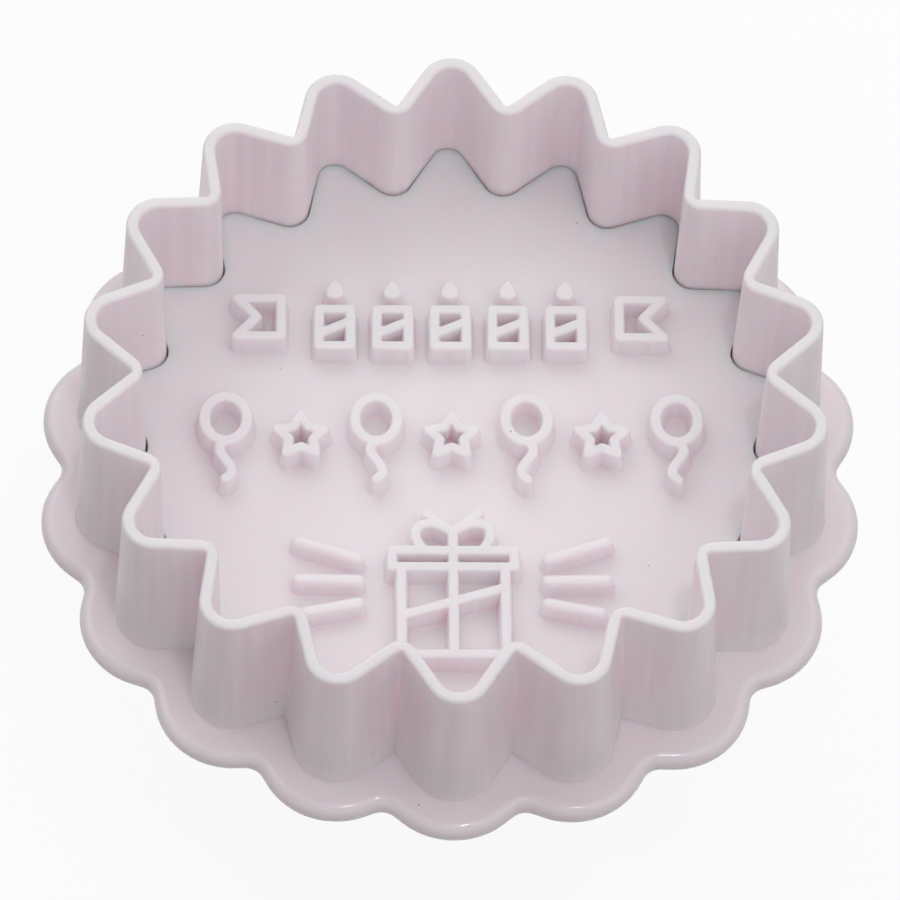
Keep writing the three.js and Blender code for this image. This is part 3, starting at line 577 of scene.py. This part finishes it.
def embossPlate():
    edge, low, high = plate["edge"], plate["bottomRound"], plate["edgeRound"]
    line = dict(wallLine, dip=wallLine["dip"] - plate["notchDeeper"])  # the slit opens a little round the wall's tips
    side = np.concatenate([
        arc((edge - plate["edgeTaper"] - low, plate["bottom"] + low), low, -90, 0, 3),
        arc((edge - high, plate["top"] - high), high, 0, 90, 5)])
    rows = [lobedLoop(line, *place) for place in side]
    angles = loopAngles(rows[0])
    flatTop, post = plate["flatTop"], plate["post"]
    below = rounded([
        (plate["bore"], plate["boreTop"], 0), (plate["bore"], plate["postEnd"], 0.15), (post, plate["postEnd"], 0.3),
        (post, flatTop - 0.02, 0), (post, flatTop, 0), (post, plate["bottom"], 0.6),
        (plate["underRow"], plate["bottom"], 0)], 4)
    lower = []
    for radius, height in below:
        loop = circleLoop(radius, height, angles)
        if height < flatTop - 0.01:  # two flats key the post in the knob
            loop[:, 1] = np.clip(loop[:, 1], -plate["postFlat"], plate["postFlat"])
        lower.append(loop)
    rows = lower + rows
    grid = np.concatenate(rows)
    faces, normals, triangles, source = plateFace(rows[-1])
    pole = len(grid)
    top = np.where((source >= 0) & (source < columns), len(grid) - columns + source, 0)
    inner = (source < 0) | (source >= columns)
    top[inner] = pole + 1 + np.arange(inner.sum())
    points = np.concatenate([grid, [(0, 0, plate["boreTop"])], faces[inner]])
    faceSets = [gridFaces(len(rows), columns), fanFaces(np.arange(columns), pole, False), top[triangles]]
    made = areaNormals(points, faceSets)
    made[len(grid) - columns:len(grid)] = (0, 0, 1)
    made[pole + 1:] = normals[inner]
    return points, faceSets, made


makePiece("embossPlate", *embossPlate(), lilac, "plunger", "emboss_plate", "stamp_plastic")


# A profile of (radius, height) rows turned about Z, closed into a ring or ended on the axis at both ends. flats gives
# the half width of two flats for the rows that have them.
def turned(profile, sides=128, closed=False, flats=None):
    angles = np.linspace(0, 2 * math.pi, sides, endpoint=False)
    rows = profile if closed else profile[1:-1]
    loops = [circleLoop(radius, height, angles) for radius, height in rows]
    for index, flat in (flats or {}).items():
        loops[index][:, 1] = np.clip(loops[index][:, 1], -flat, flat)
    points = np.concatenate(loops)
    faceSets = [gridFaces(len(rows), sides, closed)]
    if not closed:
        count = len(points)
        points = np.concatenate([points, [(0, 0, profile[0, 1]), (0, 0, profile[-1, 1])]])
        faceSets += [fanFaces(np.arange(sides), count, False),
                     fanFaces(np.arange(count - sides, count), count + 1, True)]
    return points, faceSets, areaNormals(points, faceSets)


# Push knob: a thumb pad on a waisted neck, with the cap's seat below and the spring's cup and the post's socket above
knob = dict(radius=17, neck=14.5, padHeight=4.2, footRound=2.6, padRound=1.2, lipRound=1.6, top=12.4, cup=9.34,
            cupFloor=11.0, socket=5.3, socketFlat=4.6, socketFloor=7.6, screwBore=1.8, webFloor=5.2, headBore=4.3,
            recessFloor=2.2, capSeat=8.3)


def pushKnob():
    k = knob
    pad = k["radius"] - k["padRound"]
    outside = np.concatenate([
        arc((k["radius"] - k["footRound"], k["footRound"]), k["footRound"], -90, 0, 14),
        arc((pad, k["padHeight"] - k["padRound"]), k["padRound"], 0, 90, 10),
        bezier([(pad, k["padHeight"]), (k["neck"], k["padHeight"]), (k["neck"], k["top"] - k["lipRound"])], 24)[1:],
        arc((k["neck"] - k["lipRound"], k["top"] - k["lipRound"]), k["lipRound"], 0, 90, 10)[1:]])
    inside = rounded([
        (k["neck"] - k["lipRound"], k["top"], 0), (k["cup"], k["top"], 0.3), (k["cup"], k["cupFloor"], 0.2),
        (k["socket"], k["cupFloor"], 0), (k["socket"], k["socketFloor"], 0), (k["screwBore"], k["socketFloor"], 0.1),
        (k["screwBore"], k["webFloor"], 0.1), (k["headBore"], k["webFloor"], 0.15),
        (k["headBore"], k["recessFloor"], 0.15), (k["capSeat"], k["recessFloor"], 0.15), (k["capSeat"], 0, 0.25),
        (k["radius"] - k["footRound"], 0, 0)], 4)
    profile = np.concatenate([outside, inside[1:-1]])
    socket = np.nonzero(np.abs(profile[:, 0] - k["socket"]) < 1e-6)[0]
    return turned(profile, closed=True, flats={i: k["socketFlat"] for i in socket})


makePiece("pushKnob", *pushKnob(), lilac, "plunger", "push_knob", "stamp_plastic")

# Knob cap: a dished disc with a ring behind that grips the head bore
cap = dict(radius=8, face=0.4, dish=0.5, dishEdge=0.6, chamfer=0.5, back=1.9, spigotOut=4.0, spigotIn=3.1,
           spigotEnd=3.9)


def knobCap():
    c = cap
    middle = c["face"] + c["dish"]
    dish = bezier([(0, middle), (c["radius"] / 2, middle), (c["radius"] - c["dishEdge"], c["face"])], 20)
    rest = rounded([
        (*dish[-2], 0), (c["radius"] - c["chamfer"], c["face"], 0.25),
        (c["radius"], c["face"] + c["chamfer"], 0.35), (c["radius"], c["back"], 0.2),
        (c["spigotOut"], c["back"], 0.15), (c["spigotOut"], c["spigotEnd"], 0.2),
        (c["spigotIn"], c["spigotEnd"], 0.2), (c["spigotIn"], c["back"], 0.15), (0, c["back"], 0)], 4)
    return turned(np.concatenate([dish[:-1], rest[1:]]))


makePiece("knobCap", *knobCap(), lilac, "plunger", "knob_cap", "stamp_plastic")

# Plunger screw: a pan head with a cross recess and a thread cut for plastics
screw = dict(under=4.9, headTop=2.8, head=2.8, headFlat=1.5, headShoulder=0.4, crown=0.6, core=1.1, thread=1.5,
             pitch=1.2, ridgeSteepness=3.2, end=18.9, pointLength=1.6, pointTip=0.02, crossHalf=0.36, crossReach=1.55,
             crossDepth=1.1, crossWall=0.08, crossFall=1.6, faceSteps=24, shankSteps=150)


# The shank's radius is a core plus a sharp ridge that climbs one pitch a turn, fading out at the point; the head's
# face sinks into a cross whose depth falls off from the middle.
def plungerScrew():
    s = screw
    head = rounded([
        (0, s["headTop"], 0), (s["headFlat"] + s["headShoulder"], s["headTop"], 0.5),
        (s["head"], s["headTop"] + s["crown"], 0.3), (s["head"], s["under"], 0.1), (s["core"], s["under"], 0)], 4)
    face = np.stack([np.linspace(0, s["headFlat"], s["faceSteps"]), np.full(s["faceSteps"], s["headTop"])], -1)
    shankHeights = np.linspace(s["under"], s["end"] - s["pointTip"], s["shankSteps"])
    shank = np.stack([np.full(s["shankSteps"], s["core"]), shankHeights], -1)
    profile = np.concatenate([face, head[1:], shank[1:], [(0, s["end"])]])
    points, faceSets, _ = turned(profile, sides=64)
    x, y, z = points.T
    radius, angle = np.hypot(x, y), np.arctan2(y, x)
    ridge = (z / s["pitch"] - angle / (2 * math.pi)) % 1
    ridge = np.clip(1 - s["ridgeSteepness"] * np.abs(ridge - 0.5), 0, 1)
    taper = np.clip((s["end"] - z) / s["pointLength"], 0, 1) ** 0.7
    onShank = (z > s["under"] + 0.05) & (radius > 0.01)
    grown = np.where(onShank, (s["core"] + (s["thread"] - s["core"]) * ridge) * taper + s["pointTip"], radius)
    points[:, :2] *= (grown / np.maximum(radius, 1e-9))[:, None]
    arm = np.minimum(np.abs(x), np.abs(y))
    sink = np.clip((s["crossHalf"] - arm) / s["crossWall"], 0, 1)
    sink *= np.clip((s["crossReach"] - radius) / s["crossReach"] * s["crossFall"], 0, 1)
    onFace = (z < s["headTop"] + 0.001) & (radius < s["crossReach"])
    points[:, 2] += np.where(onFace, s["crossDepth"] * sink, 0)
    return points, faceSets, areaNormals(points, faceSets)


makePiece("plungerScrew", *plungerScrew(), zincPlatedSteel(), "plunger", "plunger_screw", "bright_steel")

# Return spring: close turns at both ends, open ones between
spring = dict(coil=8.39, wire=0.9, turns=6, low=11.3, high=30.0, endPitch=1.4, closeTurns=0.75, openingTurns=0.5,
              travel=12, steps=72, sides=16)


# The wire's line climbs by a pitch that widens smoothly after the close turns at one end and narrows again before the
# other end's, and its round section is carried along with one side kept level
def returnSpring():
    s = spring
    turn = np.linspace(0, s["turns"], s["turns"] * s["steps"] + 1)
    opened = np.clip((np.minimum(turn, s["turns"] - turn) - s["closeTurns"]) / s["openingTurns"], 0, 1)
    opened = opened ** 2 * (3 - 2 * opened)
    rise = s["high"] - s["low"] - s["wire"]
    gain = np.concatenate([[0], np.cumsum((opened[1:] + opened[:-1]) / 2)]) * (turn[1] - turn[0])
    height = s["low"] + s["wire"] / 2 + s["endPitch"] * turn + (rise - s["endPitch"] * s["turns"]) * gain / gain[-1]
    angle = 2 * math.pi * turn
    line = np.stack([s["coil"] * np.cos(angle), s["coil"] * np.sin(angle), height], -1)
    line = np.concatenate([line[:1] - (0, s["wire"], 0), line, line[-1:] + (0, s["wire"], 0)])
    along = np.gradient(line, axis=0)
    along /= np.linalg.norm(along, axis=1, keepdims=True)
    level = np.cross(along, (0, 0, 1))
    level /= np.linalg.norm(level, axis=1, keepdims=True)
    upward = np.cross(level, along)
    around = np.linspace(0, 2 * math.pi, s["sides"], endpoint=False)[None, :, None]
    loops = line[:, None] + s["wire"] / 2 * (np.cos(around) * level[:, None] + np.sin(around) * upward[:, None])
    points = np.concatenate([loops.reshape(-1, 3), line[:1], line[-1:]])
    count, sides = loops.shape[0] * s["sides"], s["sides"]
    faceSets = [gridFaces(len(line), sides), fanFaces(np.arange(sides), count, False),
                fanFaces(np.arange(count - sides, count), count + 1, True)]
    faceSets = [faces[:, ::-1] for faces in faceSets]  # the section runs the other way round, so faces turn outwards
    return points, faceSets, areaNormals(points, faceSets)


coil = makePiece("returnSpring", *returnSpring(), drawnSpringSteel(), "cutter", "return_spring", "bright_steel")
corners = np.zeros(len(coil.data.loops), np.int32)
coil.data.loops.foreach_get("vertex_index", corners)
wireLength = coil.data.uv_layers.new(name="wireLength")
sections, total = corners // spring["sides"], 2 * math.pi * spring["coil"] * spring["turns"]
lengthAlong = sections * total / (len(coil.data.vertices) / spring["sides"])
roundWire = corners % spring["sides"] * math.pi * spring["wire"] / spring["sides"]
wireLength.data.foreach_set("uv", np.stack([lengthAlong, roundWire], -1).astype(np.float32).ravel())
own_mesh(coil)

# Studio: a white floor, a wide soft panel overhead, soft lamps all round and a small one high in front for glints.
# Power is a share of what makes a white sheet facing the lamp render white: pi squared times distance squared.
studio = dict(floorSize=6.0, floorDrop=0.05, floorGrey="#AAAAAA", floorWhite="#FAFAFA", floorGlow=0.9, sky=0.29,
              distance=1.2)
lamps = [
    dict(name="overheadPanel", elevation=90, azimuth=0, size=2.4, share=0.085),
    dict(name="backLamp", elevation=33, azimuth=182, size=1.2, share=0.25),
    dict(name="frontLamp", elevation=40, azimuth=0, size=0.9, share=0.07),
    dict(name="rightLamp", elevation=48, azimuth=60, size=0.9, share=0.145),
    dict(name="rightBackLamp", elevation=48, azimuth=120, size=0.9, share=0.075),
    dict(name="leftLamp", elevation=45, azimuth=240, size=1.0, share=0.18),
    dict(name="glintLamp", elevation=75, azimuth=25, size=0.06, share=0.1)]


# 1 for what the camera sees straight or in a reflection, 0 for light that falls on the object
def seenDirectly(tree):
    path = addNode(tree, "ShaderNodeLightPath").outputs
    seen = addNode(tree, "ShaderNodeMath", {0: path["Is Camera Ray"], 1: path["Is Glossy Ray"]}, operation="MAXIMUM")
    seen = addNode(tree, "ShaderNodeMath", {0: seen.outputs[0], 1: path["Is Transmission Ray"]}, operation="MAXIMUM")
    return seen.outputs[0]


def paperFloor():
    material, tree = newMaterial("paperFloor")
    seen = seenDirectly(tree)
    glow = addNode(tree, "ShaderNodeMath", {0: seen, 1: studio["floorGlow"]}, operation="MULTIPLY")
    paper = addNode(tree, "ShaderNodeMix", {
        "Factor": seen, 6: linear(studio["floorGrey"]), 7: linear(studio["floorWhite"])}, data_type="RGBA")
    matt = addNode(tree, "ShaderNodeBsdfDiffuse", {"Color": paper.outputs[2]})
    white = addNode(tree, "ShaderNodeEmission", {"Color": (1, 1, 1, 1), "Strength": 1.0})
    mixed = addNode(tree, "ShaderNodeMixShader", {0: glow.outputs[0], 1: matt.outputs[0], 2: white.outputs[0]})
    addNode(tree, "ShaderNodeOutputMaterial", {"Surface": mixed.outputs[0]})
    return material


def setStudio():
    half, low = studio["floorSize"] / 2, -studio["floorDrop"] * mm
    mesh = bpy.data.meshes.new("floor")
    sheet = [(-half, -half, low), (half, -half, low), (half, half, low), (-half, half, low)]
    mesh.from_pydata(sheet, [], [(0, 1, 2, 3)])
    mesh.materials.append(paperFloor())
    floor = bpy.data.objects.new("floor", mesh)
    bpy.context.scene.collection.objects.link(floor)
    for lamp in lamps:
        data = bpy.data.lights.new(lamp["name"], "AREA")
        data.shape, data.size = "DISK", lamp["size"]
        data.energy = lamp["share"] * (math.pi * studio["distance"]) ** 2
        el, az = math.radians(lamp["elevation"]), math.radians(lamp["azimuth"])
        way = Vector((math.cos(el) * math.sin(az), -math.cos(el) * math.cos(az), math.sin(el)))
        light = bpy.data.objects.new(lamp["name"], data)
        light.location = Vector(lens["target"]) * mm + studio["distance"] * way
        light.rotation_mode = "QUATERNION"
        light.rotation_quaternion = (-way).to_track_quat("-Z", "Y")
        bpy.context.scene.collection.objects.link(light)
    world = bpy.data.worlds.new("softRoom")
    world.use_nodes = True
    tree = world.node_tree
    tree.nodes.clear()
    seen = seenDirectly(tree)
    level = addNode(tree, "ShaderNodeMapRange", {"Value": seen, "To Min": studio["sky"], "To Max": 1.0})
    sky = addNode(tree, "ShaderNodeBackground", {"Color": (1, 1, 1, 1), "Strength": level.outputs[0]})
    addNode(tree, "ShaderNodeOutputWorld", {"Surface": sky.outputs[0]})
    bpy.context.scene.world = world
    bpy.context.scene.view_settings.view_transform = "Standard"


setStudio()
print("studio set")
